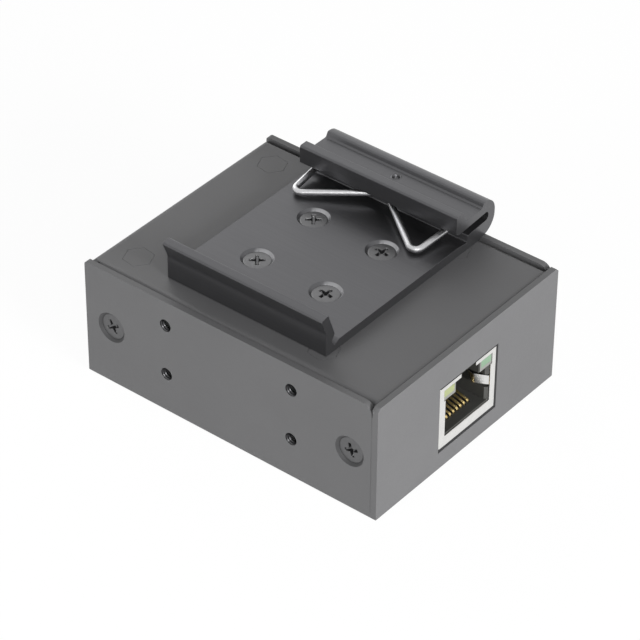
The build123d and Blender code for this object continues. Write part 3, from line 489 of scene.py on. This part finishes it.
def moulded(name, low, high, roughness, scale=1800):
    """A moulded or cast surface: two close tones over a fine noise, which also roughens it slightly."""
    material, tree, shader, place = new_material(name, low, roughness)
    marks = add(tree, "ShaderNodeTexNoise", values={"Scale": scale, "Detail": 2}, links={"Vector": place})
    tone = add(tree, "ShaderNodeMix", {"data_type": "RGBA"}, {6: linear(low), 7: linear(high)},
               {0: marks.outputs["Fac"]})
    tree.links.new(tone.outputs[2], shader.inputs["Base Color"])
    bump = add(tree, "ShaderNodeBump", values={"Strength": 0.12, "Distance": 0.00003},
               links={"Height": marks.outputs["Fac"]})
    tree.links.new(bump.outputs["Normal"], shader.inputs["Normal"])
    return material


def dress(piece, material, slot=None):
    """Gives a piece or a solid its only material."""
    piece.data.materials.clear()
    piece.data.materials.append(material)
    if slot:
        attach(piece, "root")
    return piece


coat = powder_coat()
extruded = anodised()
# Bright drawn stainless wire: nearly white highlights over a faint grain
wire_steel = metal("drawn_stainless_wire", "#b4b4b6", "#cfcfd0", 0.35, 2600, 0.00002)
# Black zinc plate on steel screws: dark, with a clear sheen on edges
screw_black = metal("black_zinc_plated_steel", "#5e5e5f", "#707071", 0.34, 2000, 0.00002)
# Thread cut through the coated sheet: bare steel, its tone set darker as painted shade inside the holes
bare_thread = metal("cut_steel_thread", "#4a4a4b", "#5e5e60", 0.3, 2000, 0.00002)
# Bright zinc on the hidden nuts and pan screws
zinc = metal("bright_zinc_plate", "#a9adb1", "#c3c6c8", 0.3, 1500, 0.00003)
# Nickel plated brass sheet round the sockets: clean and nearly white
nickel = metal("nickel_plated_sheet", "#d9d9d7", "#e9e8e5", 0.22, 900, 0.00001)
# Thin gold plate on the sprung contacts
gold = metal("gold_plate", "#d8b869", "#efdca6", 0.38, 2500, 0.00001)
# Drawn tin-bright can of the crystal and capacitors
bright_can = metal("drawn_tin_can", "#c5c6c6", "#dcdddd", 0.26, 1200, 0.00002)
# Glass-filled nylon of the network socket: black, slightly shiny
black_nylon = moulded("black_moulded_nylon", "#383836", "#434340", 0.4)
# Off-white moulding of the USB socket
white_nylon = moulded("white_moulded_nylon", "#d6d4cc", "#e0ded7", 0.45)
# Clear-milky acrylic of the light pipes
acrylic = moulded("milky_acrylic", "#6a6a67", "#7a7a76", 0.3)
# Tinted lamp windows, yellow-green on the left and green on the right
lamp_left = moulded("yellow_green_acrylic", "#7d8458", "#8a9166", 0.28, 900)
lamp_right = moulded("green_acrylic", "#5f7a62", "#718c73", 0.28, 900)
# Green solder mask on glass-epoxy laminate
laminate = moulded("green_solder_mask", "#12552e", "#176338", 0.35)
# Black epoxy of the chips and grey ferrite of the coil
epoxy = moulded("black_epoxy", "#232324", "#2c2c2d", 0.6)
ferrite = moulded("sintered_ferrite", "#4a4a4c", "#5a5a5c", 0.7)
# Buff fired ceramic of the small chip parts
ceramic = moulded("fired_ceramic", "#a08663", "#b2987a", 0.5)

for name, material in {
    "board_standoffs": coat, "clip_nuts": zinc, "side_nuts": zinc, "board_screws": zinc,
    "circuit_board": laminate, "jack_insulator": black_nylon, "usb_insulator": white_nylon,
    "left_light_pipe": acrylic, "right_light_pipe": acrylic, "left_lens": lamp_left,
    "right_lens": lamp_right, "controller_chip": epoxy, "memory_chip": epoxy, "crystal_can": bright_can,
    "power_coil": ferrite, "capacitor_1": bright_can, "capacitor_2": bright_can, "chip_passives": ceramic,
}.items():
    dress(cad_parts[name], material)
for number in range(1, 5):
    dress(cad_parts[f"usb_contact_{number}"], gold)

# Sheets, clip and shells with their cut edges softened
for node, edge, material, slot in (
    ("housing_tray", 0.08, coat, "black_powder_coat"),
    ("housing_lid", 0.08, coat, "black_powder_coat"),
    ("din_rail_clip", 0.12, extruded, "black_anodised"),
    ("jack_shield", 0.05, nickel, "nickel_plate"),
    ("usb_shell", 0.06, nickel, "nickel_plate"),
):
    soft = softened(node, edge)
    dress(soft, material, slot)
    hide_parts(node)

# Screws, tapped holes and the wire
clip_turns = (0.67, 0.67, 1.46, 1.46)
clip_places = [((x, y, CLIP_SCREW_FACE), 0, turn) for (x, y), turn in zip(CLIP_SCREWS, clip_turns)]
heads = screw_set("clip_screw_heads", clip_places)
dress(heads, screw_black, "dark_plated_steel")
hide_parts("clip_screws")
side_turns = ((-1, -SIDE_SCREW_X, 0.5), (-1, SIDE_SCREW_X, 0.3), (1, -SIDE_SCREW_X, 0.1),
              (1, SIDE_SCREW_X, 0.9))
side_places = [((x, side * SIDE_SCREW_Y, SIDE_SCREW_Z), side, turn) for side, x, turn in side_turns]
side_heads = screw_set("side_screw_heads", side_places)
dress(side_heads, screw_black, "dark_plated_steel")
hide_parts("side_screws")
threads = tapped_threads()
dress(threads, bare_thread, "dark_plated_steel")
dress(seam_coat(), coat, "black_powder_coat")
mark = stake_mark()
dress(mark, extruded, "black_anodised")
upward, across = np.array([0.0, 0.0, 1.0]), np.array([0.0, 1.0, 0.0])
wire = face_out(rod_piece("sprung_wire", section_along(wire_route(), circle(WIRE_RADIUS, 28), upward)))
dress(wire, wire_steel, "spring_steel")
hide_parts("spring_wire")
strip = section_along(contact_route(), strip_outline(0.3, 0.5), across)
for number, y in enumerate(CONTACT_Y, 1):
    contact = face_out(rod_piece(f"sprung_contact_{number}", strip + across * y))
    dress(contact, gold, "gilt_contact")
    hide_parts(f"jack_contact_{number}")


# Floor, light and camera

def seen_flag(tree):
    """1 for rays from the camera, from gloss and through clear things, and 0 for light on its way."""
    path = add(tree, "ShaderNodeLightPath")
    first = add(tree, "ShaderNodeMath", {"operation": "MAXIMUM"},
                links={0: path.outputs["Is Camera Ray"], 1: path.outputs["Is Glossy Ray"]})
    return add(tree, "ShaderNodeMath", {"operation": "MAXIMUM"},
               links={0: first.outputs[0], 1: path.outputs["Is Transmission Ray"]}).outputs[0]


def white_floor():
    """A wide pale sheet that lights the box from below and shows as white, with a faint shadow."""
    bpy.ops.mesh.primitive_plane_add(size=FLOOR_SIZE)
    floor = bpy.context.active_object
    floor.name = "floor"
    floor.location.z = -FLOOR_GAP * MM
    material = bpy.data.materials.new("white_paper")
    material.use_nodes = True
    tree = material.node_tree
    tree.nodes.clear()
    paper = add(tree, "ShaderNodeBsdfDiffuse", values={"Color": linear("#f4f4f4")})
    glow = add(tree, "ShaderNodeEmission", values={"Color": linear("#ffffff"), "Strength": FLOOR_GLOW})
    painted_highlight = add(tree, "ShaderNodeMath", {"operation": "MULTIPLY"}, {1: FLOOR_SHARE}, {0: seen_flag(tree)})
    mix = add(tree, "ShaderNodeMixShader",
              links={0: painted_highlight.outputs[0], 1: paper.outputs[0], 2: glow.outputs[0]})
    add(tree, "ShaderNodeOutputMaterial", links={"Surface": mix.outputs[0]})
    floor.data.materials.append(material)


def soft_world():
    """Even pale light all round, which shows as white."""
    world = bpy.data.worlds.new("studio")
    bpy.context.scene.world = world
    world.use_nodes = True
    tree = world.node_tree
    tree.nodes.clear()
    lit = add(tree, "ShaderNodeBackground", values={"Color": linear("#ffffff"), "Strength": 0.08})
    shown = add(tree, "ShaderNodeBackground", values={"Color": linear("#ffffff"), "Strength": 1.0})
    mix = add(tree, "ShaderNodeMixShader",
              links={0: seen_flag(tree), 1: lit.outputs[0], 2: shown.outputs[0]})
    add(tree, "ShaderNodeOutputWorld", links={"Surface": mix.outputs[0]})


def soft_box(name, place, size, power, mirrored=True):
    """A square soft lamp aimed at the middle of the box, seen in its gloss or left out of it."""
    lamp = bpy.data.lights.new(name, "AREA")
    lamp.size = size
    lamp.energy = power
    holder = bpy.data.objects.new(name, lamp)
    holder.location = place
    holder.visible_glossy = mirrored
    aim = BOX_MIDDLE - Vector(place)
    holder.rotation_euler = aim.to_track_quat("-Z", "Y").to_euler()
    bpy.context.scene.collection.objects.link(holder)


def photo_camera():
    """The camera at the photograph's place, turned by its azimuth, elevation and roll."""
    azimuth, elevation, roll = map(math.radians, (CAMERA_AZIMUTH, CAMERA_ELEVATION, CAMERA_ROLL))
    back = Vector((math.sin(azimuth) * math.cos(elevation), -math.cos(azimuth) * math.cos(elevation),
                   math.sin(elevation)))
    right = (-back).cross(Vector((0, 0, 1))).normalized()
    up = right.cross(-back)
    c, s = math.cos(roll), math.sin(roll)
    side, lift = right * c + up * s, up * c - right * s
    camera = bpy.data.cameras.new("camera")
    camera.lens, camera.sensor_width = CAMERA_LENS, 36
    camera.clip_start, camera.clip_end = 0.05, 20
    holder = bpy.data.objects.new("camera", camera)
    turn = Matrix((side, lift, back)).transposed().to_4x4()
    holder.matrix_world = Matrix.Translation(CAMERA_PLACE) @ turn
    bpy.context.scene.collection.objects.link(holder)
    bpy.context.scene.camera = holder


white_floor()
soft_world()
soft_box("right_box", (1.2, -0.2, 0.3), 0.5, 23.5, False)
soft_box("front_box", (-0.3, -1.15, 0.28), 0.5, 7.4, False)
soft_box("key_box", (0.75, -0.8, 0.75), 0.4, 5.5)
soft_box("back_box", (-1.1, 1.3, 0.75), 1.2, 1.4)
soft_box("left_box", (-1.6, 0.6, 0.75), 1.2, 8)
photo_camera()
bpy.context.scene.view_settings.view_transform = "Standard"
